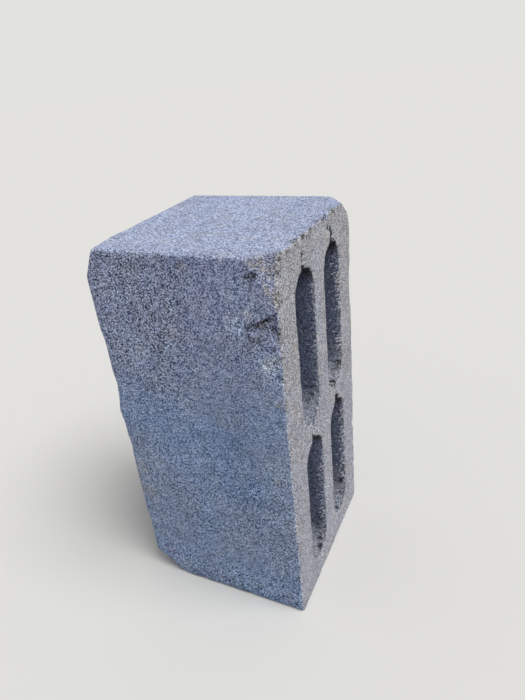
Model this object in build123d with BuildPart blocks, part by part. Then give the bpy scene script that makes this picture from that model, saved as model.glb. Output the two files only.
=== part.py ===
from build123d import *
import os

# Hollow concrete block with four blind slots, vibro-pressed in a steel mould as one piece.
# It stands on one end. X runs from the closed bed to the open bed, Y from one stretcher
# face to the other, and Z from end to end. The origin is the centre of the lower end.
# All lengths are in millimetres and all angles in degrees.

# Outside of the block
BLOCK_LENGTH = 390.0  # along Z, end face to end face
BLOCK_WIDTH = 190.0  # along Y, stretcher face to stretcher face
BLOCK_HEIGHT = 188.0  # along X, closed bed to open bed
MOULD_CORNER_RADIUS = 4.0  # the four edges that the corners of the mould round off
CLOSED_BED_EDGE_RADIUS = 12.0  # the edges that stood on the pallet and wore round
OPEN_BED_EDGE_RADIUS = 2.5  # the edges that the pressing shoe left

# Slots: the concrete round them is measured at their mouths, where it is thinnest
SLOT_COLUMNS = 2
SLOT_ROWS = 2
END_WALL = 30.0  # from an end face to the nearest slot
CROSS_WEB = 24.0  # between two slots in a column
SIDE_WALL = 38.0  # from a stretcher face to the nearest slot
CENTRE_WEB = 30.0  # between the two columns
CLOSED_BED_THICKNESS = 22.0  # concrete under the bottom of each slot
SLOT_DRAFT = 1.5  # taper on each side, so that the steel core pulls out
SLOT_FLOOR_RADIUS = 7.0  # rounded nose of the core
SLOT_MOUTH_CHAMFER = 1.5  # crumbled rim of the mouth

# Marks of the bars that hold the cores, pressed into the open bed along each column
BAR_MARK_WIDTH = 6.0
BAR_MARK_DEPTH = 1.0

# Corners that were knocked off: how far each scar reaches along the block's three edges
FOOT_SCAR_ALONG_X = 43.0  # lower corner of the closed bed and the front stretcher
FOOT_SCAR_ALONG_Y = 24.0
FOOT_SCAR_ALONG_Z = 31.0
FOOT_SCAR_ROUNDING = 4.0
RIDGE_SCAR_ALONG_X = 17.0  # upper corner of the closed bed and the front stretcher
RIDGE_SCAR_ALONG_Y = 120.0
RIDGE_SCAR_ALONG_Z = 36.0
RIDGE_SCAR_ROUNDING = 3.0
HEAD_SCAR_ALONG_X = 24.0  # upper corner of the open bed and the front stretcher
HEAD_SCAR_ALONG_Y = 17.0
HEAD_SCAR_ALONG_Z = 42.0
HEAD_SCAR_ROUNDING = 3.0
BACK_SCAR_ALONG_X = 18.0  # upper corner of the open bed and the back stretcher
BACK_SCAR_ALONG_Y = 26.0
BACK_SCAR_ALONG_Z = 20.0
BACK_SCAR_ROUNDING = 3.0

# Sizes and places that follow from the ones above
open_bed = BLOCK_HEIGHT / 2
slot_length = (BLOCK_LENGTH - 2 * END_WALL - (SLOT_ROWS - 1) * CROSS_WEB) / SLOT_ROWS
slot_width = (BLOCK_WIDTH - 2 * SIDE_WALL - (SLOT_COLUMNS - 1) * CENTRE_WEB) / SLOT_COLUMNS
slot_depth = BLOCK_HEIGHT - CLOSED_BED_THICKNESS
row_pitch = slot_length + CROSS_WEB
column_pitch = slot_width + CENTRE_WEB
bar_mark_radius = (BAR_MARK_WIDTH**2 / 4 + BAR_MARK_DEPTH**2) / (2 * BAR_MARK_DEPTH)
bar_mark_centre = open_bed - BAR_MARK_DEPTH + bar_mark_radius

# Each knocked corner: its side of the block along X, Y and Z, its reach, its rounding
knocked_corners = [
    ((-1, -1, -1), (FOOT_SCAR_ALONG_X, FOOT_SCAR_ALONG_Y, FOOT_SCAR_ALONG_Z), FOOT_SCAR_ROUNDING),
    ((-1, -1, 1), (RIDGE_SCAR_ALONG_X, RIDGE_SCAR_ALONG_Y, RIDGE_SCAR_ALONG_Z), RIDGE_SCAR_ROUNDING),
    ((1, -1, 1), (HEAD_SCAR_ALONG_X, HEAD_SCAR_ALONG_Y, HEAD_SCAR_ALONG_Z), HEAD_SCAR_ROUNDING),
    ((1, 1, 1), (BACK_SCAR_ALONG_X, BACK_SCAR_ALONG_Y, BACK_SCAR_ALONG_Z), BACK_SCAR_ROUNDING),
]


def scar_plane(side, reach):
    """Plane through the three points that a scar reaches on the edges of a corner, facing out."""
    corner = Vector(
        side[0] * open_bed, side[1] * BLOCK_WIDTH / 2, (1 + side[2]) * BLOCK_LENGTH / 2
    )
    on_x = corner - Vector(side[0] * reach[0], 0, 0)
    on_y = corner - Vector(0, side[1] * reach[1], 0)
    on_z = corner - Vector(0, 0, side[2] * reach[2])
    outward = (on_y - on_x).cross(on_z - on_x) * (side[0] * side[1] * side[2])
    return Plane(origin=on_x, x_dir=on_y - on_x, z_dir=outward)


with BuildPart() as hollow_block:
    # Solid body, rounded by the mould along X and then round both beds
    with BuildSketch(Plane.YZ.offset(-open_bed)):
        with Locations((0, BLOCK_LENGTH / 2)):
            RectangleRounded(BLOCK_WIDTH, BLOCK_LENGTH, MOULD_CORNER_RADIUS)
    extrude(amount=BLOCK_HEIGHT)
    beds = hollow_block.faces().filter_by(GeomType.PLANE).sort_by(Axis.X)
    fillet(beds[0].edges(), CLOSED_BED_EDGE_RADIUS)
    beds = hollow_block.faces().filter_by(GeomType.PLANE).sort_by(Axis.X)
    fillet(beds[-1].edges(), OPEN_BED_EDGE_RADIUS)

    # Knocked corners, each broken off along a plane and then worn round its rim
    for side, reach, rounding in knocked_corners:
        scar = scar_plane(side, reach)
        split(bisect_by=scar, keep=Keep.BOTTOM)
        fillet(hollow_block.faces().filter_by(scar)[0].edges(), rounding)

    # Blind slots with full-radius ends, widest at the mouth
    with BuildSketch(Plane.YZ.offset(open_bed)) as mouths:
        with Locations((0, BLOCK_LENGTH / 2)):
            with GridLocations(column_pitch, row_pitch, SLOT_COLUMNS, SLOT_ROWS):
                SlotOverall(slot_length, slot_width, rotation=90)
    extrude(amount=-slot_depth, taper=SLOT_DRAFT, mode=Mode.SUBTRACT)

    # Rounded bottom of each slot, then the crumbled rim of its mouth
    slot_bottoms = hollow_block.faces().filter_by(Plane.YZ).filter_by_position(
        Axis.X, open_bed - slot_depth - 1, open_bed - slot_depth + 1
    )
    fillet(slot_bottoms.edges(), SLOT_FLOOR_RADIUS)
    open_face = hollow_block.faces().filter_by(Plane.YZ).sort_by(Axis.X)[-1]
    chamfer(open_face.inner_wires().edges(), SLOT_MOUTH_CHAMFER)

    # Shallow channel left by the core bar, across both end walls and the cross web
    with BuildSketch(Plane.XY):
        with GridLocations(0, column_pitch, 1, SLOT_COLUMNS):
            with Locations((bar_mark_centre, 0)):
                Circle(bar_mark_radius)
    extrude(amount=BLOCK_LENGTH, mode=Mode.SUBTRACT)

hollow_block.part.label = "hollow_block"

os.makedirs("parts", exist_ok=True)
export_step(hollow_block.part, "parts/hollow_block.step")
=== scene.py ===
import math

import bmesh
import bpy
import numpy as np
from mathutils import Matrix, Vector


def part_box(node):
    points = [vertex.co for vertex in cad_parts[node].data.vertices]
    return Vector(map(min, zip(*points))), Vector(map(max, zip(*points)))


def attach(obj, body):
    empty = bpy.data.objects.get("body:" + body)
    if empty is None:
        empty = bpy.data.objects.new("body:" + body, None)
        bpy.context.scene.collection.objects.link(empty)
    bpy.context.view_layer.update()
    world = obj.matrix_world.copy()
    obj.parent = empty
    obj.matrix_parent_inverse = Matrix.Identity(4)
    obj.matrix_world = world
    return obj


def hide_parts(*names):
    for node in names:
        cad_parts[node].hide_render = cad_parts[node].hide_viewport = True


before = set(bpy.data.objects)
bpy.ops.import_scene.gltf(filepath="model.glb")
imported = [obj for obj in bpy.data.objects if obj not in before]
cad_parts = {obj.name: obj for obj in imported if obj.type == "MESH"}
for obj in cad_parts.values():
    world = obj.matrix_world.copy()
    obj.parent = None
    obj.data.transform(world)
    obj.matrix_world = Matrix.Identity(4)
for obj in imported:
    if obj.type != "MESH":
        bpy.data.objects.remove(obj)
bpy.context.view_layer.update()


# Camera: it stands where the photograph was taken from, in front of the block, to its right
# and above it, and it is held a few degrees off level.
CAMERA_PLACE = Vector((0.2570, -0.4427, 0.5219))
CAMERA_AIM = Vector((-0.0266, 0.1061, 0.1927))
CAMERA_ROLL = math.radians(-6.09)
CAMERA_LENS = 28.492  # mm, for a sensor whose long side is 36 mm

bpy.ops.object.select_all(action="DESELECT")
bpy.ops.object.camera_add(location=CAMERA_PLACE)
camera = bpy.context.object
camera.name = "camera"
camera.data.lens = CAMERA_LENS
aim = (CAMERA_AIM - CAMERA_PLACE).to_track_quat("-Z", "Y")
camera.rotation_euler = aim.to_matrix().to_euler()
camera.rotation_euler.rotate_axis("Z", CAMERA_ROLL)
bpy.context.scene.camera = camera
bpy.context.scene.view_settings.view_transform = "Standard"


# Studio: a pale matt floor that runs out of sight into a backdrop of its own tone, a broad high
# lamp on the side of the open bed that just grazes the front stretcher face, and an even
# surround that fills the shade.
FLOOR_RADIUS = 14.0
FLOOR_COLOUR = "#D9D8D5"
BACKDROP_COLOUR = "#E2E2DE"
SURROUND_STRENGTH = 0.43
LAMP_TOWARDS = Vector((0.46, -0.09, 0.88))  # from the block to the lamp
LAMP_DISTANCE = 2.0
LAMP_STRENGTH = 2.4
LAMP_BREADTH = math.radians(35)


def linear(colour):
    """Turns an sRGB hex colour into the linear values that a shader takes."""
    channels = [int(colour[place:place + 2], 16) / 255 for place in (1, 3, 5)]
    return [c / 12.92 if c <= 0.04045 else ((c + 0.055) / 1.055) ** 2.4 for c in channels] + [1.0]


def add(tree, kind, settings=None, links=None):
    """Adds a node, sets its fields and sockets, and links outputs to its sockets."""
    made = tree.nodes.new(kind)
    for name, value in (settings or {}).items():
        if isinstance(name, str) and hasattr(made, name):
            setattr(made, name, value)
        else:
            made.inputs[name].default_value = value
    for name, output in (links or {}).items():
        tree.links.new(output, made.inputs[name])
    return made


bpy.ops.mesh.primitive_circle_add(vertices=128, radius=FLOOR_RADIUS, fill_type="NGON")
floor = bpy.context.object
floor.name = "studio_floor"
floor_paint = bpy.data.materials.new("matt_pale_floor")
floor_paint.use_nodes = True
floor_shader = floor_paint.node_tree.nodes["Principled BSDF"]
floor_shader.inputs["Base Color"].default_value = linear(FLOOR_COLOUR)
floor_shader.inputs["Roughness"].default_value = 0.9
floor_shader.inputs["Specular IOR Level"].default_value = 0.0
floor.data.materials.append(floor_paint)

bpy.ops.object.light_add(type="SUN", location=LAMP_TOWARDS * LAMP_DISTANCE)
lamp = bpy.context.object
lamp.name = "broad_lamp"
lamp.rotation_euler = LAMP_TOWARDS.to_track_quat("Z", "Y").to_euler()
lamp.data.energy = LAMP_STRENGTH
lamp.data.angle = LAMP_BREADTH

surround = bpy.data.worlds.new("pale_surround")
surround.use_nodes = True
bpy.context.scene.world = surround
sky = surround.node_tree
sky.nodes.clear()
ray = add(sky, "ShaderNodeLightPath")
seen = add(sky, "ShaderNodeMath", {"operation": "MAXIMUM"},
           {0: ray.outputs["Is Camera Ray"], 1: ray.outputs["Is Glossy Ray"]})
glow = add(sky, "ShaderNodeMix",
           {"data_type": "RGBA", 6: [SURROUND_STRENGTH] * 3 + [1.0], 7: linear(BACKDROP_COLOUR)},
           {0: seen.outputs[0]})
backdrop = add(sky, "ShaderNodeBackground", None, {"Color": glow.outputs[2]})
add(sky, "ShaderNodeOutputWorld", None, {"Surface": backdrop.outputs[0]})


# Block body: one piece of semi-dry sand and cement concrete, vibro-pressed in a steel mould.
# The mould left crisp arrises along X, the bed that stood on the pallet wore round, and four
# corners were knocked off. It stands in the place of the frame's solid, at the same size.
MM = 0.001
MOULD_CORNER_RADIUS = 3 * MM
CLOSED_BED_EDGE_RADIUS = 7 * MM
OPEN_BED_EDGE_RADIUS = 2 * MM
SCARS = [  # side of the block and reach of the scar along X, Y and Z, and its rounding
    ((-1, -1, -1), (43 * MM, 24 * MM, 31 * MM), 9 * MM),
    ((-1, -1, 1), (17 * MM, 120 * MM, 36 * MM), 2 * MM),
    ((1, -1, 1), (24 * MM, 17 * MM, 42 * MM), 3 * MM),
    ((1, 1, 1), (18 * MM, 26 * MM, 20 * MM), 5 * MM),
]
TINY = 1e-5

low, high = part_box("hollow_block")
middle = (low + high) / 2
half = (high - low) / 2


def pick(kind, test):
    """In edit mode, selects the edges or faces whose corners and middle all pass a test."""
    bpy.ops.mesh.select_mode(type=kind)
    bpy.ops.mesh.select_all(action="DESELECT")
    mesh = bmesh.from_edit_mesh(bpy.context.object.data)
    for item in mesh.edges if kind == "EDGE" else mesh.faces:
        corners = [corner.co for corner in item.verts]
        item.select_set(all(test(place) for place in corners + [sum(corners, Vector()) / len(corners)]))
    bmesh.update_edit_mesh(bpy.context.object.data)


def on_mould_corner(place):
    """True on the lines that run as far from a stretcher face as from an end face."""
    return abs((half.y - abs(place.y - middle.y)) - (half.z - abs(place.z - middle.z))) < TINY


bpy.ops.object.select_all(action="DESELECT")
bpy.ops.mesh.primitive_cube_add(size=1, location=middle, scale=high - low)
block = bpy.context.object
block.name = "concrete_block"
bpy.ops.object.transform_apply(location=True, rotation=False, scale=True)
bpy.ops.object.mode_set(mode="EDIT")
pick("EDGE", lambda place: place.x < low.x + TINY)
bpy.ops.mesh.bevel(offset=CLOSED_BED_EDGE_RADIUS, segments=6)
pick("EDGE", on_mould_corner)
bpy.ops.mesh.bevel(offset=MOULD_CORNER_RADIUS, segments=3)
pick("EDGE", lambda place: place.x > high.x - TINY)
bpy.ops.mesh.bevel(offset=OPEN_BED_EDGE_RADIUS, segments=3)
for side, reach, rounding in SCARS:
    corner = middle + Vector(s * h for s, h in zip(side, half))
    outward = Vector(s / r for s, r in zip(side, reach)).normalized()
    bpy.ops.mesh.select_all(action="SELECT")
    bpy.ops.mesh.bisect(
        plane_co=corner - Vector((side[0] * reach[0], 0, 0)),
        plane_no=outward, use_fill=True, clear_outer=True,
    )
    bpy.ops.mesh.bevel(offset=rounding, segments=4)
bpy.ops.object.mode_set(mode="OBJECT")


# Slots: four blind ones that steel cores left, drafted so that the cores pulled out, with round
# ends and rounded bottoms. Their mouths flare a little where the rim crumbled.
SLOT_WIDTH = 42 * MM
SLOT_LENGTH = 153 * MM
SLOT_DEPTH = 166 * MM
SLOT_COLUMNS = (-36 * MM, 36 * MM)
SLOT_ROWS = (106.5 * MM, 283.5 * MM)
SLOT_FLOOR_RADIUS = 7 * MM
SLOT_DRAFT = math.tan(math.radians(1.5))
MOUTH_FLARE = 1.2 * MM
MOUTH_LIP = 1.6 * MM
PAST_FACE = 4 * MM


def slot_core(y, z):
    """The steel core of one slot, which is cut out of the block."""
    lip = high.x - MOUTH_LIP
    floor_x = high.x - SLOT_DEPTH
    centre = Vector(((lip + floor_x) / 2, y, z))
    bpy.ops.mesh.primitive_cube_add(
        size=1, location=centre, scale=(lip - floor_x, SLOT_WIDTH, SLOT_LENGTH)
    )
    core = bpy.context.object
    bpy.ops.object.transform_apply(location=True, rotation=False, scale=True)
    bpy.ops.object.mode_set(mode="EDIT")
    pick("EDGE", lambda place: abs(place.y - y) > SLOT_WIDTH / 2 - TINY
         and abs(place.z - z) > SLOT_LENGTH / 2 - TINY)
    bpy.ops.mesh.bevel(offset=SLOT_WIDTH / 2 - TINY, segments=12)
    pick("FACE", lambda place: place.x < floor_x + TINY)
    narrower = 2 * SLOT_DEPTH * SLOT_DRAFT
    bpy.ops.transform.resize(
        value=(1, 1 - narrower / SLOT_WIDTH, 1 - narrower / SLOT_LENGTH),
        center_override=(floor_x, y, z),
    )
    bpy.ops.mesh.bevel(offset=SLOT_FLOOR_RADIUS, segments=4)
    pick("FACE", lambda place: place.x > lip - TINY)
    for reach, wider in ((MOUTH_LIP, 2 * MOUTH_FLARE), (PAST_FACE, 0.0)):
        bpy.ops.mesh.extrude_region_move(TRANSFORM_OT_translate={"value": (reach, 0, 0)})
        bpy.ops.transform.resize(
            value=(1, 1 + wider / SLOT_WIDTH, 1 + wider / SLOT_LENGTH),
            center_override=(lip, y, z),
        )
    bpy.ops.object.mode_set(mode="OBJECT")
    return core


bpy.ops.object.select_all(action="DESELECT")
cores = [slot_core(y, z) for y in SLOT_COLUMNS for z in SLOT_ROWS]
for core in cores:
    core.select_set(True)
bpy.context.view_layer.objects.active = cores[0]
bpy.ops.object.join()
cores = bpy.context.object
bpy.ops.object.select_all(action="DESELECT")
bpy.context.view_layer.objects.active = block
cut = block.modifiers.new("slots", "BOOLEAN")
cut.operation = "DIFFERENCE"
cut.solver = "EXACT"
cut.object = cores
bpy.ops.object.modifier_apply(modifier="slots")
bpy.data.objects.remove(cores)


# Worn and grained skin: the concrete is open between its grains of sand, its arrises and rims
# have crumbled, and knocks have left hollows. Every move goes inwards, so the size stays.
VOXEL = 1.3 * MM
MOST_TRIANGLES = 196000
NOISE_TILT = np.linalg.qr(np.random.default_rng(7).normal(size=(3, 3)))[0]
SEED_STEP = 31.7
HASH_WEIGHTS = (127.1, 311.7, 74.7)
HASH_GAIN = 43758.5453

fine_mesh = block.modifiers.new("fine_mesh", "REMESH")
fine_mesh.mode = "VOXEL"
fine_mesh.voxel_size = VOXEL
bpy.ops.object.modifier_apply(modifier="fine_mesh")


def noise(points, size, seed):
    """Smooth random values from 0 to 1, with humps about as far apart as the size."""
    cell = points @ NOISE_TILT / size + SEED_STEP * seed
    corner = np.floor(cell)
    blend = cell - corner
    blend = blend * blend * (3 - 2 * blend)
    total = np.zeros(len(points))
    for place in np.ndindex(2, 2, 2):
        value = np.sin((corner + place) @ HASH_WEIGHTS) * HASH_GAIN
        weight = np.prod(np.where(place, blend, 1 - blend), axis=1)
        total += weight * (value - np.floor(value))
    return total


def near(distance, reach):
    """1 where a distance is nil, falling softly to nothing past a reach."""
    return np.exp(-(distance / reach) ** 2)


def rise(value, start, end):
    """0 below the start and 1 above the end, with a soft slope between them."""
    share = np.clip((value - start) / (end - start), 0, 1)
    return share * share * (3 - 2 * share)


class Places:
    """Where each of a set of points lies on the block: its distances to faces, arrises and rims,
    and how far it is across the middle of its slot, and down it as a share of half its length."""

    def __init__(self, points):
        self.points = points
        self.x, self.y, self.z = points.T
        inwards = np.concatenate([points - np.array(low), np.array(high) - points], axis=1)
        self.closed, self.front, self.bottom, self.open, self.back, self.top = inwards.T
        nearest = np.sort(inwards, axis=1)
        self.skin = nearest[:, 0]
        self.arris = np.hypot(nearest[:, 0], nearest[:, 1])
        self.slot = np.full(len(points), 1.0)
        for y in SLOT_COLUMNS:
            for z in SLOT_ROWS:
                past_straight = np.maximum(np.abs(self.z - z) - (SLOT_LENGTH - SLOT_WIDTH) / 2, 0)
                outline = np.hypot(self.y - y, past_straight) - SLOT_WIDTH / 2
                self.slot = np.where(np.abs(outline) < np.abs(self.slot), outline, self.slot)
        self.rim = np.hypot(self.slot, self.open)
        self.across = np.abs(self.y) - SLOT_COLUMNS[1]
        self.across = np.where(self.y > 0, self.across, -self.across)
        self.down = np.abs(self.z - middle.z) - (SLOT_ROWS[1] - SLOT_ROWS[0]) / 2
        self.down = np.where(self.z > middle.z, -self.down, self.down) / (SLOT_LENGTH / 2)


def read(mesh, field):
    """Reads the place or normal of every vertex of a mesh."""
    values = np.empty(len(mesh.vertices) * 3)
    mesh.vertices.foreach_get(field, values)
    return values.reshape(-1, 3)


def front_place(from_closed_bed, height):
    """A place on the front stretcher face, in millimetres from the closed bed and the floor."""
    return np.array((low.x + from_closed_bed * MM, low.y, height * MM))


def bed_place(from_front, height):
    """A place on the open bed, in millimetres from the front stretcher face and the floor."""
    return np.array((high.x, low.y + from_front * MM, height * MM))


def bowl(points, centre, reach, seed):
    """1 round a centre, falling to nothing at a ragged distance of about the reach from it."""
    ragged = reach * (0.65 + 0.7 * noise(points, 0.5 * reach, seed))
    return 1 - rise(np.linalg.norm(points - centre, axis=1), 0.3 * ragged, ragged)


def wear_round(one, other, radius):
    """Two distances from the faces beside an arris, after the arris wore to a radius."""
    run = np.hypot(radius - one, radius - other)
    worn = (one < radius) & (other < radius) & (run > radius)
    share = np.where(worn, radius / np.maximum(run, TINY), 1.0)
    return radius - (radius - one) * share, radius - (radius - other) * share


points = read(block.data, "co")
normals = read(block.data, "normal")

# The arrises of the closed bed, which stood on the pallet, wore round by more in some places
CLOSED_FRONT_WEAR = [  # height above the floor and radius, in mm
    (70, 14), (84, 12), (129, 12), (155, 12.5), (175, 14.5), (190, 11), (207, 10.5), (220, 7.5),
    (232, 12.5), (250, 16.5), (266, 13.5), (297, 14), (311, 10.5), (323, 10), (350, 9.5), (370, 10),
]
CLOSED_TOP_WEAR = [  # distance from the front stretcher face and radius, in mm
    (20, 15), (32, 16), (65, 18), (90, 15), (115, 16), (150, 14.5), (180, 13.5),
]
LEAST_WEAR = 9 * MM
MORE_BACK_WEAR = 5 * MM
MORE_BOTTOM_WEAR = 4 * MM
WEAR_PATCH = 40 * MM
at = Places(points)
radius = np.interp(at.z / MM, *zip(*CLOSED_FRONT_WEAR)) * MM
closed, front = wear_round(at.closed, at.front, radius)
radius = LEAST_WEAR + MORE_BACK_WEAR * noise(points, WEAR_PATCH, 14)
closed, back = wear_round(closed, at.back, radius)
radius = np.interp(at.front / MM, *zip(*CLOSED_TOP_WEAR)) * MM
closed, top = wear_round(closed, at.top, radius)
radius = LEAST_WEAR + MORE_BOTTOM_WEAR * noise(points, WEAR_PATCH, 15)
closed, bottom = wear_round(closed, at.bottom, radius)
points = np.array((low.x + closed, at.y + front - at.front - back + at.back,
                   at.z - top + at.top + bottom - at.bottom)).T
at = Places(points)

# Grain: the sand stands out between small pores, more so where the mix was drier, high up on the
# front stretcher face. The pressed bed and the upper end are smoother, and the slots deep down.
FACE_REACH = 4 * MM
DRY_HEIGHTS = (0.12, 0.33)
PLAIN_ROUGH = 0.5
DRY_ROUGH = 0.25
SLOT_ROUGH = 0.2
BED_SMOOTH = 0.2
END_SMOOTH = 0.15
DEEP_SMOOTH = 0.7
SAND_SIZE = 2.2 * MM
SAND_RELIEF = 0.4 * MM
CLUMP_SIZE = 5 * MM
CLUMP_RELIEF = 0.2 * MM
SWELL_SIZE = 26 * MM
SWELL_RELIEF = 0.45 * MM
PORE_SIZE = 2.9 * MM
PORE_DEPTH = 1.1 * MM
PORE_EDGE = (0.74, 0.9)  # the noise at which a pore starts and at which it is full
is_front, is_open, is_top = (
    near(distance, FACE_REACH) * (distance <= at.skin + TINY)
    for distance in (at.front, at.open, at.top)
)
in_slot = rise(at.open, 1 * MM, 3 * MM) * (np.abs(at.slot) < 5 * MM)
rough = PLAIN_ROUGH + DRY_ROUGH * is_front * rise(at.z, *DRY_HEIGHTS)
rough += SLOT_ROUGH * in_slot - BED_SMOOTH * is_open - END_SMOOTH * is_top
rough *= 1 - DEEP_SMOOTH * rise(at.skin, 40 * MM, 90 * MM)
depth = rough * SAND_RELIEF * noise(points, SAND_SIZE, 1)
depth += rough * CLUMP_RELIEF * noise(points, CLUMP_SIZE, 2)
depth += SWELL_RELIEF * noise(points, SWELL_SIZE, 3)
depth += rough * PORE_DEPTH * rise(noise(points, PORE_SIZE, 4), *PORE_EDGE)

# Arrises: crisp where two plates of the mould met, crumbled where the open bed meets a side, and
# more so near the top
MOULD_WEAR = 0.25
OPEN_WEAR = 0.5
UPPER_WEAR = 0.4
UPPER_HEIGHTS = (0.24, 0.32)
NIBBLE_REACH = 2.6 * MM
NIBBLE_DEPTH = 2.2 * MM
CRUMBLE_REACH = 5 * MM
CRUMBLE_DEPTH = 2.4 * MM
CRUMBLE_EDGE = (0.66, 0.85)
open_arris = np.hypot(at.open, np.minimum(at.front, at.back))
wear = OPEN_WEAR + UPPER_WEAR * rise(at.z, *UPPER_HEIGHTS)
wear = MOULD_WEAR + wear * near(open_arris, 8 * MM)
depth += near(at.arris, NIBBLE_REACH) * wear * NIBBLE_DEPTH * noise(points, 5 * MM, 5) ** 2
crumbled = rise(noise(points, 15 * MM, 6), *CRUMBLE_EDGE)
depth += near(at.arris, CRUMBLE_REACH) * wear * CRUMBLE_DEPTH * crumbled

# Rims of the slots: the core dragged grains out as it left, most on the side away from the front,
# in short streaks that run in and down from the mouth
STREAK_SIZE = 2.6 * MM
STREAK_SLANT = ((0.25, 0, -0.5), (0, 1, 0), (0, 0, 1))
LEAST_DRAG = 0.55
MORE_FAR_DRAG = 0.45
RIM_WEAR = 0.3 * MM
STREAK_DEPTH = 3.4 * MM
STREAK_DEPTH_INSIDE = 1.8 * MM
drag = LEAST_DRAG + MORE_FAR_DRAG * rise(at.across, -12 * MM, 16 * MM)
streaks = noise(points @ STREAK_SLANT, STREAK_SIZE, 7) ** 2
depth += near(at.rim, 2.4 * MM) * (RIM_WEAR + drag * STREAK_DEPTH * streaks)
depth += near(at.rim, 7 * MM) * in_slot * drag * STREAK_DEPTH_INSIDE * streaks
points = points - normals * depth[:, None]

# Hollows in the open bed: at the bar marks over the slots, and small pits in the webs
BED_HOLLOWS = [  # from the front stretcher face and the floor, reach and depth, all in mm
    (59, 361, 4, 4), (55, 364, 4, 2.5), (56, 369, 3, 1.5), (57, 374, 3.5, 2.2), (57, 379, 3, 2),
    (131, 361, 6, 4.5), (133, 368, 4.5, 4.5), (130, 374, 4, 4), (124, 377, 3.5, 3.5),
    (119, 379, 3.5, 3), (121, 385, 4, 2.5), (120, 390, 6, 3.5), (138, 360, 4, 2.5),
    (59, 185, 7, 3.5), (56, 191, 4, 2), (131, 186, 8, 4.5), (128, 193, 3.5, 2),
    (62, 204, 4.5, 2.5), (128, 205, 5, 2.5), (75, 174, 3.5, 2.0), (155, 168, 3.5, 2.0),
    (45, 212, 4, 2.0), (97, 182, 3.5, 1.5), (22, 362, 3.5, 1.5), (33, 200, 3.5, 1.5),
]
FIRST_BED_SEED = 20
BAR_MARK_REACH = 3.5 * MM
BAR_MARK_DEPTH = 1.6 * MM
FACE_SKIN = 14 * MM  # a hollow moves points no deeper than this in its face
at = Places(points)
sunk = np.zeros(len(points))
for seed, (across, height, reach, deep) in enumerate(BED_HOLLOWS, FIRST_BED_SEED):
    hollow = bowl(points, bed_place(across, height), reach * MM, seed)
    sunk = np.maximum(sunk, deep * MM * hollow)
bar_mark = near(np.abs(np.abs(at.y) - SLOT_COLUMNS[1]), BAR_MARK_REACH) * (at.slot > 0)
sunk += BAR_MARK_DEPTH * bar_mark * noise(points, 9 * MM, 9)
points[:, 0] = np.where(at.open < FACE_SKIN, np.minimum(at.x, high.x - sunk), at.x)

# Gouge in the front stretcher face: a ragged ledge with a bruised hollow under it
GOUGE_ALONG = (150, 156, 162, 168, 173, 180, 189)  # mm from the closed bed
GOUGE_HEIGHT = (328, 331, 334, 336.5, 339.5, 343.5, 346.5)  # mm from the floor to its ledge
GOUGE_DEPTH = (0.3, 2, 3.5, 3.5, 4, 5, 6)  # mm
GOUGE_START = (150, 158)  # mm from the closed bed, where it starts and where it is full
LEDGE_RAGGED = 5 * MM
LEDGE_SLOPE = 0.7 * MM
GROOVE_REACH = 6 * MM
BRUISE_SHARE = 0.35
BRUISE_BELOW = 12 * MM
BRUISE_REACH = 13 * MM
FRONT_HOLLOWS = [  # from the closed bed and the floor, reach and depth, all in mm
    (165, 374, 5, 2.5), (170, 377, 3.5, 2), (176, 385, 4, 2), (182, 356, 3.5, 1.5), (176, 347, 3, 1.5),
    (165, 331, 4, 2.5), (186, 331, 4.5, 2.5), (157, 323, 4, 2), (158, 318, 3.5, 1.5), (167, 321, 4, 2),
    (179, 314, 3.5, 2), (186, 315, 4, 2), (184, 288, 4.5, 3), (144, 316, 3.5, 1.5), (122, 278, 5, 1.5),
    (92, 332, 3, 2), (68, 301, 3, 1.8), (141, 256, 4, 1.2), (176, 170, 4, 1.2), (131, 123, 3.5, 1.5),
    (43, 106, 3.5, 1.2), (183, 47, 3.5, 1.5), (187, 67, 3.5, 2),
]
FIRST_FRONT_SEED = 50
at = Places(points)
along = (at.x - low.x) / MM
ragged = LEDGE_RAGGED * (noise(points, 4 * MM, 10) - 0.5)
under = np.interp(along, GOUGE_ALONG, GOUGE_HEIGHT) * MM - at.z + ragged
groove = rise(under, -LEDGE_SLOPE, LEDGE_SLOPE) * near(under, GROOVE_REACH)
bruise = BRUISE_SHARE * near(under - BRUISE_BELOW, BRUISE_REACH)
gouge = rise(along, *GOUGE_START) * np.maximum(groove, bruise)
gouge *= 0.25 + 1.2 * noise(points, 5 * MM, 11)
sunk = np.interp(along, GOUGE_ALONG, GOUGE_DEPTH) * MM * gouge
for seed, (across, height, reach, deep) in enumerate(FRONT_HOLLOWS, FIRST_FRONT_SEED):
    hollow = bowl(points, front_place(across, height), reach * MM, seed)
    sunk = np.maximum(sunk, deep * MM * hollow)
points[:, 1] = np.where(at.front < FACE_SKIN, np.maximum(at.y, low.y + sunk), at.y)

block.data.vertices.foreach_set("co", points.ravel())
block.data.update()

thin = block.modifiers.new("thin_out", "DECIMATE")
thin.ratio = MOST_TRIANGLES / sum(len(face.vertices) - 2 for face in block.data.polygons)
bpy.ops.object.modifier_apply(modifier="thin_out")
bpy.ops.object.shade_smooth()
print("block triangles", sum(len(face.vertices) - 2 for face in block.data.polygons))


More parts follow.
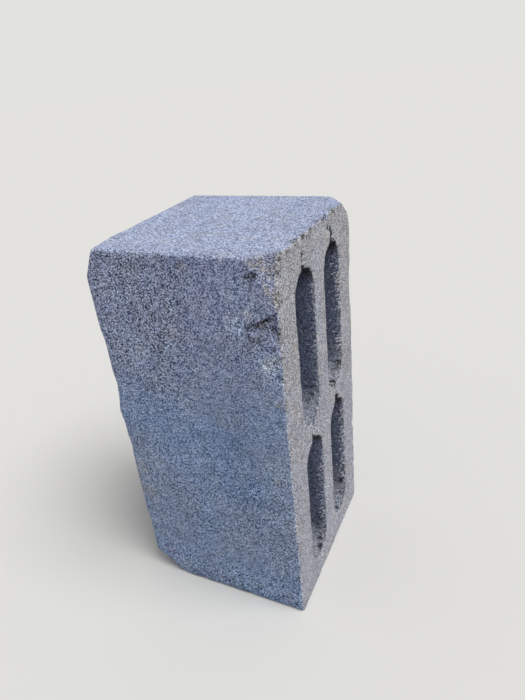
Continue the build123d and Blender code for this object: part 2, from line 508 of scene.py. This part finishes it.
# Concrete: grey cement and washed sand, vibro-pressed nearly dry, so it is open between the grains
# and quite matt. The eye sees fine grains, dark voids and cloudy changes of tone. Real dust is
# finer than its scale here, which is as coarse as it has to be to show.
GRAIN = 0.78 * MM
DUST = 0.5 * MM
VOID = 1.1 * MM
CRUMB = 3.2 * MM
SPECK = 1.6 * MM
TOOTH = 1.7 * MM
TOOTH_STRETCH = 2.4
DRAG_SLANT = math.radians(28)
TINT = 16 * MM
MOTTLE = 13 * MM
CLOUD = 42 * MM
# These greys are partly the concrete's own and partly painted light: the blue of the sides and ends is
# painted sky shade, and the paler ends and warmer pressed bed are painted as lit
MOULD_GREY = "#7E8EAC"
DRY_GREY = "#8892B2"
BLUER_GREY = "#7791B9"
END_GREY = "#9FA9C4"
PRESSED_GREY = "#A2A2A9"
PRESSED_COOL = "#A2A3AE"
# the slot walls, painted dark with the shade that falls in them
SLOT_SHADE_GREY = "#626A83"
# painted shade: nearly black at the upper ends of the slots and in pits at their mouths
SHADE_BLACK = "#1F2126"
# silt, and painted light where the lower ends of the slots face up into the light
SILT_AND_LIGHT_GREY = "#8A8E9B"
# painted shade in the hollows at the mouths of the slots
HOLLOW_SHADE_GREY = "#4C4A4A"
# the teeth at the slots' far rims, painted pale with the light near the mouth
LIT_TOOTH_GREY = "#BCC0CD"
CHIP_BLUE = "#94A7C3"
SAND_BEIGE = "#9A9798"
LIME_WHITE = "#C2C7D4"
CLAY_VIOLET = "#8A8FB4"
SOIL_BROWN = "#322D2B"
WARM_TINT = "#FDFAF6"
COOL_TINT = "#F7FAFF"

at = Places(read(block.data, "co"))
along = (at.x - low.x) / MM
up = at.z / MM
on_front = near(at.front, 9 * MM) * (at.front < at.open)
off_closed = rise(at.closed, 5 * MM, 12 * MM)
in_mouth = (1 - rise(at.slot, 2 * MM, 6 * MM)) * off_closed
round_slot = (1 - rise(at.slot, 16 * MM, 22 * MM)) * off_closed
knocked = bowl(at.points, bed_place(6, 372), 34 * MM, 58)
chipped_edge = knocked * near(at.open - 3 * MM, 5 * MM) * rise(up, 370, 376) * (at.front < 17 * MM)
gouge_line = np.interp(along, GOUGE_ALONG, GOUGE_HEIGHT) - 2.5 - up

# Stains on the front stretcher face, each spot with its distance from the closed bed and from the
# floor and its reach, all in mm, and its strength: fresh chips, bare sand, lime, clay and soil
CHIP_SPOTS = [
    (151, 364, 18, 0.5), (163, 352, 10, 0.4), (184, 287, 6, 0.8), (151, 330, 15, 1.0),
    (178, 390, 10, 0.5), (172, 188, 18, 0.5), (176, 155, 11, 0.5), (163, 122, 13, 0.6),
    (181, 72, 10, 0.6), (12, 250, 12, 0.5), (90, 345, 9, 0.6), (75, 303, 9, 0.6),
    (33, 347, 9, 0.5), (54, 326, 5, 0.7), (133, 281, 7, 0.6), (136, 252, 8, 0.5),
    (111, 366, 7, 0.4), (40, 12, 20, 0.3), (175, 297, 14, 1.2), (182, 304, 9, 0.9),
]
SAND_SPOTS = [
    (176, 385, 14, 1.1), (188, 386, 14, 1.1), (181, 372, 9, 0.8), (184, 366, 11, 1.0),
    (187, 359, 9, 0.9), (107, 379, 7, 0.3), (162, 341, 6, 0.25), (173, 333, 9, 0.5),
    (165, 318, 8, 0.3), (187, 305, 8, 0.3), (174, 174, 9, 0.4), (46, 297, 4, 0.5),
    (14, 150, 18, 0.4), (13, 120, 16, 0.4), (182, 261, 5, 0.6), (88, 325, 16, 0.2),
]
LIME_SPOTS = [
    (174, 296, 9, 0.6), (178, 303, 10, 0.55), (115, 280, 4, 0.5), (176, 263, 3, 0.7),
    (104, 153, 3, 0.6), (147, 333, 13, 0.3), (160, 343, 7, 0.5), (182, 373, 7, 0.6),
]
CLAY_SPOTS = [
    (29, 31, 12, 0.6), (44, 16, 12, 0.4), (88, 320, 14, 0.3), (176, 62, 8, 0.4), (170, 14, 14, 0.3),
]
SOIL_SPOTS = [
    (165, 374, 6, 0.9), (170, 376, 5, 0.9), (177, 384, 6, 0.9), (181, 389, 7, 0.7),
    (184, 288, 4, 0.7), (92, 332, 3, 0.8), (68, 301, 3, 0.7), (158, 323, 4, 0.8),
    (167, 321, 4, 0.8), (180, 315, 4, 0.8), (188, 316, 4, 0.8), (182, 332, 5, 0.8),
    (181, 302, 3, 0.9), (160, 332, 4, 1.0), (171, 346, 4, 0.6), (131, 123, 4, 0.5),
    (187, 67, 3, 0.9), (184, 52, 3, 0.6),
]
FIRST_SPOT_SEED = 70


def stains(spots):
    """How strong a stain is on the front stretcher face, from its list of spots."""
    total = np.zeros(len(at.points))
    for seed, (across, height, reach, strength) in enumerate(spots, FIRST_SPOT_SEED):
        spot = bowl(at.points, front_place(across, height), reach * MM, seed)
        total = np.maximum(total, strength * spot)
    return total * on_front


# Masks: where each tone lies and how strong it is, kept on the mesh for the material to read.
# First those round the slots: the walls that the cores left, hollows and pits at the mouths and open
# upper ends, all painted dark with shade, and lower ends, painted pale with silt and with the light
# that falls on them.
masks = {"in_slot": round_slot}
# painted shade in the hollows at the mouths of the slots
masks["hollow"] = round_slot * rise(at.open, 1 * MM, 2.4 * MM) * rise(at.slot, 0.5 * MM, 2 * MM)
# painted shade: the upper ends of the slots darkened nearly to black
masks["upper_end_shade"] = round_slot * (1 - rise(at.down, -0.92, -0.7))
# silt, and painted light where the lower ends of the slots face up into the light
silt_and_light = at.down + 0.2 * noise(at.points, 9 * MM, 60) + 0.15 * (at.y > 0)
masks["lower_end"] = round_slot * rise(silt_and_light, 0.6, 1.15)
# painted shade: dark pits at the mouths of the slots
pitted = rise(noise(at.points * (0.5, 1, 1), 3 * MM, 66), 0.6, 0.7)
masks["pit_shade"] = in_mouth * rise(at.down, 0.45, 0.75) * near(at.open - 5 * MM, 7 * MM) * pitted

# The far side of each slot, where grains were dragged and the wall near the mouth is painted pale with
# the light that reaches
# it: patchy, stronger in the back column, and fading towards both ends
far_side = (1 - rise(at.slot, 3 * MM, 8 * MM)) * rise(at.across, 4 * MM, 13 * MM)
off_ends = rise(at.down, -0.95, -0.45) * (1 - 0.6 * rise(at.down, 0.55, 0.85))
patchy = 0.3 + 0.3 * (at.y > 0) + rise(noise(at.points, 13 * MM, 59), 0.25, 0.75)
upper_front = (at.y < 0) * (at.z > middle.z)
masks["dragged"] = far_side * off_ends * patchy * (1 - 0.5 * upper_front * rise(at.down, -0.1, 0.3))

# The open bed and its arrises: cooler low down and on the centre web, and a painted highlight along the
# front arris
masks["cool_bed"] = np.maximum(1 - rise(at.z, 0.14, 0.3), near(at.y, 14 * MM))
masks["knocked"] = knocked
# painted highlight along the front arris
arris_glint = near(at.front, 5 * MM) * near(at.open, 5 * MM) * (1 - 0.6 * rise(up, 230, 290))
masks["arris_highlight"] = arris_glint * (0.4 + rise(noise(at.points, 6 * MM, 67), 0.3, 0.6))

# The sides: dry above and at the closed bed, bluer in clouds and towards the foot
dry_edge = at.z + 0.03 * noise(at.points, 60 * MM, 61)
masks["dry"] = np.maximum(rise(dry_edge, 0.22, 0.36), near(at.closed, 6 * MM))
damp_clouds = 0.6 * rise(noise(at.points, 45 * MM, 62), 0.45, 0.75)
masks["damp"] = np.maximum(damp_clouds, 1 - rise(up, 10, 70))

# The front stretcher face: its stains, with sand and soil in the chipped edge, soil in the gouge
# and in the upper arris, and lime along the open bed
bed_lime = 0.5 * on_front * near(at.open, 3 * MM) * rise(noise(at.points, 5 * MM, 63), 0.3, 0.65)
gouge_soil = 0.85 * on_front * near(gouge_line, 3.0) * rise(along, 154, 159)
arris_soil = 0.9 * near(np.minimum(at.front, at.top), 5 * MM) * near(at.open, 5 * MM)
arris_soil *= (0.3 + 0.7 * rise(up, 300, 330)) * rise(noise(at.points, 3.5 * MM, 65), 0.42, 0.66)
masks["chip"] = stains(CHIP_SPOTS)
masks["sand"] = 0.5 * chipped_edge + stains(SAND_SPOTS)
masks["lime"] = np.maximum(stains(LIME_SPOTS), bed_lime)
masks["clay"] = stains(CLAY_SPOTS)
masks["soil"] = np.maximum.reduce((stains(SOIL_SPOTS), gouge_soil, 0.5 * chipped_edge, arris_soil))

# How coarse the speckle is. It is less on the faces away from the front and the open bed, and
# even on the ends, on the open bed and in the slots.
PLAIN_COARSE = 0.75
END_COARSE = 0.63
BED_COARSE = 0.66
SLOT_COARSE = 0.6
HIDDEN_LESS = 0.15
coarse = PLAIN_COARSE
for change, where in (
    (0.25, rise(up, 200, 330)),  # the dry upper part
    (-0.28, rise(along, 60, 130) * rise(up, 150, 250)),  # towards the open bed
    (0.2, rise(along, 150, 160) * near(gouge_line - 8, 14)),  # the bruise of the gouge
    (0.3, 1 - rise(up, 15, 50)),  # the foot
):
    coarse = coarse + change * where
coarse *= 0.85 + 0.3 * noise(at.points, 30 * MM, 64)
coarse *= 1 - HIDDEN_LESS * (1 - near(at.front, 20 * MM)) * (1 - near(at.open, 20 * MM))
coarse = np.where(np.minimum(at.top, at.bottom) < 2 * MM, END_COARSE, coarse)
coarse = np.where(at.open < 2 * MM, BED_COARSE, coarse)
masks["coarse"] = coarse + (SLOT_COARSE - coarse) * round_slot * rise(at.open, 2 * MM, 3 * MM)

# How light the front stretcher face is from place to place, with painted shade at its foot
lightness = 1.0
for change, where in (
    (0.05, rise(up, 220, 300)),  # the dry upper part
    (-0.05, rise(up, 352, 375)),  # under the upper arris
    # painted shade at the very foot, where it meets the floor
    (-0.13, 1 - rise(up, 2, 16)),  # the very foot
    (-0.09, rise(along, 60, 110) * rise(up, 230, 330)),  # the upper part, towards the open bed
    (0.12, near(along - 148, 9) * near(up - 333, 13)),  # beside the gouge
    (-0.09, near(along - 134, 20) * rise(up, 80, 160) * (1 - rise(up, 270, 310))),  # a damp band
    (0.04, near(along - 50, 40) * rise(up, 260, 300)),  # the upper part, towards the closed bed
    (0.04, 1 - rise(up, 20, 60)),  # just above the foot
):
    lightness = lightness + change * where
masks["by_place"] = 1 + (lightness - 1) * on_front
for name, values in masks.items():
    layer = block.data.attributes.new(name, "FLOAT", "POINT")
    layer.data.foreach_set("value", values.astype(np.float32))

concrete = bpy.data.materials.new("vibro_pressed_concrete")
concrete.use_nodes = True
tree = concrete.node_tree
shader = tree.nodes["Principled BSDF"]
place = add(tree, "ShaderNodeTexCoord").outputs["Object"]
axes = add(tree, "ShaderNodeSeparateXYZ", None, {0: place})
mask = {
    name: add(tree, "ShaderNodeAttribute", {"attribute_name": name}).outputs["Fac"] for name in masks
}

# Crumbs and specks: they break a stain up grain by grain
crumbs = add(tree, "ShaderNodeTexNoise", {"Scale": 1 / CRUMB, "Detail": 1.0}, {"Vector": place})
crumb_share = add(tree, "ShaderNodeMapRange",
                  {"From Min": 0.38, "From Max": 0.6, "To Min": 0.25, "To Max": 1.3},
                  {"Value": crumbs.outputs["Fac"]})
specks = add(tree, "ShaderNodeTexNoise", {"Scale": 1 / SPECK, "Detail": 1.0}, {"Vector": place})
speck_share = add(tree, "ShaderNodeMapRange",
                  {"From Min": 0.42, "From Max": 0.58, "To Min": 0.1, "To Max": 1.5},
                  {"Value": specks.outputs["Fac"]})

# The open bed ends in a sharp edge of tone, also where it curves into a side or a knocked corner,
# and the ends of the block begin just inside their arrises, so that their pale tone lies on the rounded
# arris as a painted highlight. The share at the arris, for the painted highlight there, is a narrow
# hump over that edge, nil on both sides of it.
HUMP = 4.0  # makes the top of the hump 1
KNOCKED_SHIFT = 2.2 * MM
SIDE_SHIFT = 1.5 * MM
BED_EDGE = (high.x - 0.9 * MM, high.x + 0.4 * MM)
END_EDGE = (half.z - 2.6 * MM, half.z - 1.2 * MM)
outward = add(tree, "ShaderNodeMath", {"operation": "MULTIPLY_ADD", 1: KNOCKED_SHIFT},
              {0: mask["knocked"], 2: axes.outputs["X"]})
off_centre = add(tree, "ShaderNodeMath", {"operation": "ABSOLUTE"}, {0: axes.outputs["Y"]})
to_side = add(tree, "ShaderNodeMath", {"operation": "SUBTRACT", 0: high.y}, {1: off_centre.outputs[0]})
off_side = add(tree, "ShaderNodeMath", {"operation": "MINIMUM", 1: SIDE_SHIFT},
               {0: to_side.outputs[0]})
bedwards = add(tree, "ShaderNodeMath", {"operation": "ADD"},
               {0: outward.outputs[0], 1: off_side.outputs[0]})
on_bed = add(tree, "ShaderNodeMapRange", {"From Min": BED_EDGE[0], "From Max": BED_EDGE[1]},
             {"Value": bedwards.outputs[0]})
off_bed = add(tree, "ShaderNodeMath", {"operation": "MULTIPLY_ADD", 1: -HUMP, 2: HUMP},
              {0: on_bed.outputs[0]})
at_arris = add(tree, "ShaderNodeMath", {"operation": "MULTIPLY"},
               {0: on_bed.outputs[0], 1: off_bed.outputs[0]})
off_middle = add(tree, "ShaderNodeMath", {"operation": "SUBTRACT", 1: middle.z}, {0: axes.outputs["Z"]})
to_end = add(tree, "ShaderNodeMath", {"operation": "ABSOLUTE"}, {0: off_middle.outputs[0]})
on_end = add(tree, "ShaderNodeMapRange", {"From Min": END_EDGE[0], "From Max": END_EDGE[1]},
             {"Value": to_end.outputs[0]})
beside_slot = add(tree, "ShaderNodeMath", {"operation": "SUBTRACT", "use_clamp": True},
                  {0: mask["in_slot"], 1: on_bed.outputs[0]})
share = {
    name: add(tree, "ShaderNodeMath", {"operation": "MULTIPLY"}, {0: mask[name], 1: limit.outputs[0]})
    for name, limit in (
        ("arris_highlight", at_arris), ("cool_bed", on_bed), ("upper_end_shade", beside_slot),
        ("lower_end", beside_slot), ("pit_shade", beside_slot),
    )
}

# Tone of each face, partly the concrete's own and partly painted light: the sides carry a painted blue
# of sky shade, the ends are painted paler and the pressed bed warmer, as if lit. The slots that the
# steel cores left are painted dark with shade, nearly black with painted shade at their upper ends, and
# pale with silt and painted light at the lower
tone = linear(MOULD_GREY)
for colour, strength, broken_by in (
    (BLUER_GREY, mask["damp"], None),
    (DRY_GREY, mask["dry"], None),
    (END_GREY, on_end.outputs[0], None),
    (PRESSED_GREY, on_bed.outputs[0], None),
    (PRESSED_COOL, share["cool_bed"].outputs[0], None),
    # painted shade on the slot walls
    (SLOT_SHADE_GREY, beside_slot.outputs[0], None),
    # painted shade at the upper ends of the slots and in pits at their mouths
    (SHADE_BLACK, share["upper_end_shade"].outputs[0], None),
    (SILT_AND_LIGHT_GREY, share["lower_end"].outputs[0], None),
    (SHADE_BLACK, share["pit_shade"].outputs[0], None),
    # painted highlight along the front arris
    (LIME_WHITE, share["arris_highlight"].outputs[0], crumb_share),
    (HOLLOW_SHADE_GREY, mask["hollow"], crumb_share),
    (CHIP_BLUE, mask["chip"], crumb_share),
    (CLAY_VIOLET, mask["clay"], crumb_share),
    (SAND_BEIGE, mask["sand"], crumb_share),
    (LIME_WHITE, mask["lime"], crumb_share),
    (SOIL_BROWN, mask["soil"], speck_share),
):
    if broken_by:
        strength = add(tree, "ShaderNodeMath", {"operation": "MULTIPLY", "use_clamp": True},
                       {0: strength, 1: broken_by.outputs[0]}).outputs[0]
    paint = add(tree, "ShaderNodeMix", {"data_type": "RGBA", 7: linear(colour)}, {0: strength})
    if isinstance(tone, list):
        paint.inputs[6].default_value = tone
    else:
        tree.links.new(tone, paint.inputs[6])
    tone = paint.outputs[2]

# Teeth of the slots' rims: the core dragged grains out in short streaks, in and down from the mouth,
# and the teeth are painted pale with the light that reaches the wall near the mouth
TEETH_FADE = -24.0  # how fast the streaks thin out with depth, per metre
depth_in = add(tree, "ShaderNodeMath", {"operation": "SUBTRACT", 0: high.x}, {1: axes.outputs["X"]})
streaked = add(tree, "ShaderNodeMapping",
               {"vector_type": "TEXTURE", "Rotation": (0, -DRAG_SLANT, 0),
                "Scale": (TOOTH_STRETCH, 1.0, 1.0)},
               {"Vector": place})
teeth = add(tree, "ShaderNodeTexNoise", {"Scale": 1 / TOOTH, "Detail": 1.0},
            {"Vector": streaked.outputs[0]})
tooth_rise = add(tree, "ShaderNodeMath", {"operation": "MULTIPLY_ADD", 1: TEETH_FADE},
                 {0: depth_in.outputs[0], 2: teeth.outputs["Fac"]})
tooth = add(tree, "ShaderNodeMapRange", {"From Min": 0.4, "From Max": 0.46},
            {"Value": tooth_rise.outputs[0]})
tooth_share = add(tree, "ShaderNodeMath", {"operation": "MULTIPLY"},
                  {0: tooth.outputs[0], 1: mask["dragged"]})
tooth_in = add(tree, "ShaderNodeMath", {"operation": "MULTIPLY"},
               {0: tooth_share.outputs[0], 1: beside_slot.outputs[0]})
tone = add(tree, "ShaderNodeMix", {"data_type": "RGBA", 7: linear(LIT_TOOTH_GREY)},
           {0: tooth_in.outputs[0], 6: tone}).outputs[2]

# Warm and cool sand: a faint change of tint from patch to patch
tints = add(tree, "ShaderNodeTexNoise", {"Scale": 1 / TINT, "Detail": 1.0}, {"Vector": place})
tint = add(tree, "ShaderNodeValToRGB", None, {"Fac": tints.outputs["Fac"]})
for stop, (position, colour) in zip(tint.color_ramp.elements, ((0.34, WARM_TINT), (0.66, COOL_TINT))):
    stop.position = position
    stop.color = linear(colour)
tone = add(tree, "ShaderNodeMix", {"data_type": "RGBA", "blend_type": "MULTIPLY", 0: 1.0},
           {6: tone, 7: tint.outputs["Color"]}).outputs[2]

# Speckle: each grain has its own brightness, dust lies between, and voids are nearly black
grains = add(tree, "ShaderNodeTexVoronoi", {"Scale": 1 / GRAIN}, {"Vector": place})
grain_pick = add(tree, "ShaderNodeSeparateColor", None, {"Color": grains.outputs["Color"]})
grain_shade = add(tree, "ShaderNodeMapRange",
                  {"From Min": 0.3, "From Max": 0.7, "To Min": 0.1, "To Max": 1.95},
                  {"Value": grain_pick.outputs[0]})
dust = add(tree, "ShaderNodeTexNoise", {"Scale": 1 / DUST, "Detail": 1.0, "Roughness": 0.7},
           {"Vector": place})
dust_shade = add(tree, "ShaderNodeMapRange",
                 {"From Min": 0.3, "From Max": 0.7, "To Min": 0.5, "To Max": 1.5, "clamp": False},
                 {"Value": dust.outputs["Fac"]})
speckle = add(tree, "ShaderNodeMath", {"operation": "MULTIPLY"},
              {0: dust_shade.outputs[0], 1: grain_shade.outputs[0]})
speckle_share = add(tree, "ShaderNodeMix", {"data_type": "FLOAT", "clamp_factor": False, 2: 1.0},
                    {0: mask["coarse"], 3: speckle.outputs[0]})
voids = add(tree, "ShaderNodeTexNoise", {"Scale": 1 / VOID, "Detail": 1.0, "Roughness": 0.6},
            {"Vector": place})
void_edge = add(tree, "ShaderNodeMapRange", {"To Min": 0.78, "To Max": 0.64, "clamp": False},
                {"Value": mask["coarse"]})
void_rise = add(tree, "ShaderNodeMath", {"operation": "SUBTRACT"},
                {0: voids.outputs["Fac"], 1: void_edge.outputs[0]})
void = add(tree, "ShaderNodeMapRange", {"From Min": -0.02, "From Max": 0.04},
           {"Value": void_rise.outputs[0]})
void_shade = add(tree, "ShaderNodeMapRange", {"To Min": 1.05, "To Max": 0.25},
                 {"Value": void.outputs[0]})
grained = add(tree, "ShaderNodeMath", {"operation": "MULTIPLY"},
              {0: speckle_share.outputs[0], 1: void_shade.outputs[0]})
shade = add(tree, "ShaderNodeMath", {"operation": "MULTIPLY"},
            {0: grained.outputs[0], 1: mask["by_place"]}).outputs[0]

# Clouds: broad and middling changes of shade over the faces
for size, least, most in ((MOTTLE, 0.93, 1.07), (CLOUD, 0.94, 1.06)):
    clouds = add(tree, "ShaderNodeTexNoise", {"Scale": 1 / size, "Detail": 3.0, "Roughness": 0.6},
                 {"Vector": place})
    cloud_shade = add(tree, "ShaderNodeMapRange",
                      {"From Min": 0.3, "From Max": 0.7, "To Min": least, "To Max": most},
                      {"Value": clouds.outputs["Fac"]})
    shade = add(tree, "ShaderNodeMath", {"operation": "MULTIPLY"},
                {0: shade, 1: cloud_shade.outputs[0]}).outputs[0]

# Light grains are greyer and dark ones bluer, as on any grey stone in the light of the sky
GREY_POWER = -0.4
LEAST_SHADE = 0.1
colour = add(tree, "ShaderNodeVectorMath", {"operation": "SCALE"}, {0: tone, "Scale": shade})
not_black = add(tree, "ShaderNodeMath", {"operation": "MAXIMUM", 1: LEAST_SHADE}, {0: shade})
greyness = add(tree, "ShaderNodeMath", {"operation": "POWER", 1: GREY_POWER},
               {0: not_black.outputs[0]})
greyed = add(tree, "ShaderNodeHueSaturation", None,
             {"Color": colour.outputs[0], "Saturation": greyness.outputs[0]})
tree.links.new(greyed.outputs[0], shader.inputs["Base Color"])
shader.inputs["Roughness"].default_value = 0.95
shader.inputs["Specular IOR Level"].default_value = 0.3

# Relief too fine for the mesh: domed grains, dust between them and voids
GRAIN_RELIEF = 0.6 * MM
dome = add(tree, "ShaderNodeMapRange", {"From Max": 0.8, "To Min": 1.0, "To Max": 0.0},
           {"Value": grains.outputs["Distance"]})
raised = add(tree, "ShaderNodeMath", {"operation": "SUBTRACT"},
             {0: dome.outputs[0], 1: void.outputs[0]})
height = add(tree, "ShaderNodeMath", {"operation": "ADD"},
             {0: raised.outputs[0], 1: dust.outputs["Fac"]})
bump = add(tree, "ShaderNodeBump", {"Distance": GRAIN_RELIEF},
           {"Height": height.outputs[0], "Strength": mask["coarse"]})
tree.links.new(bump.outputs[0], shader.inputs["Normal"])
block.data.materials.append(concrete)

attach(block, "root")
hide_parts("hollow_block")
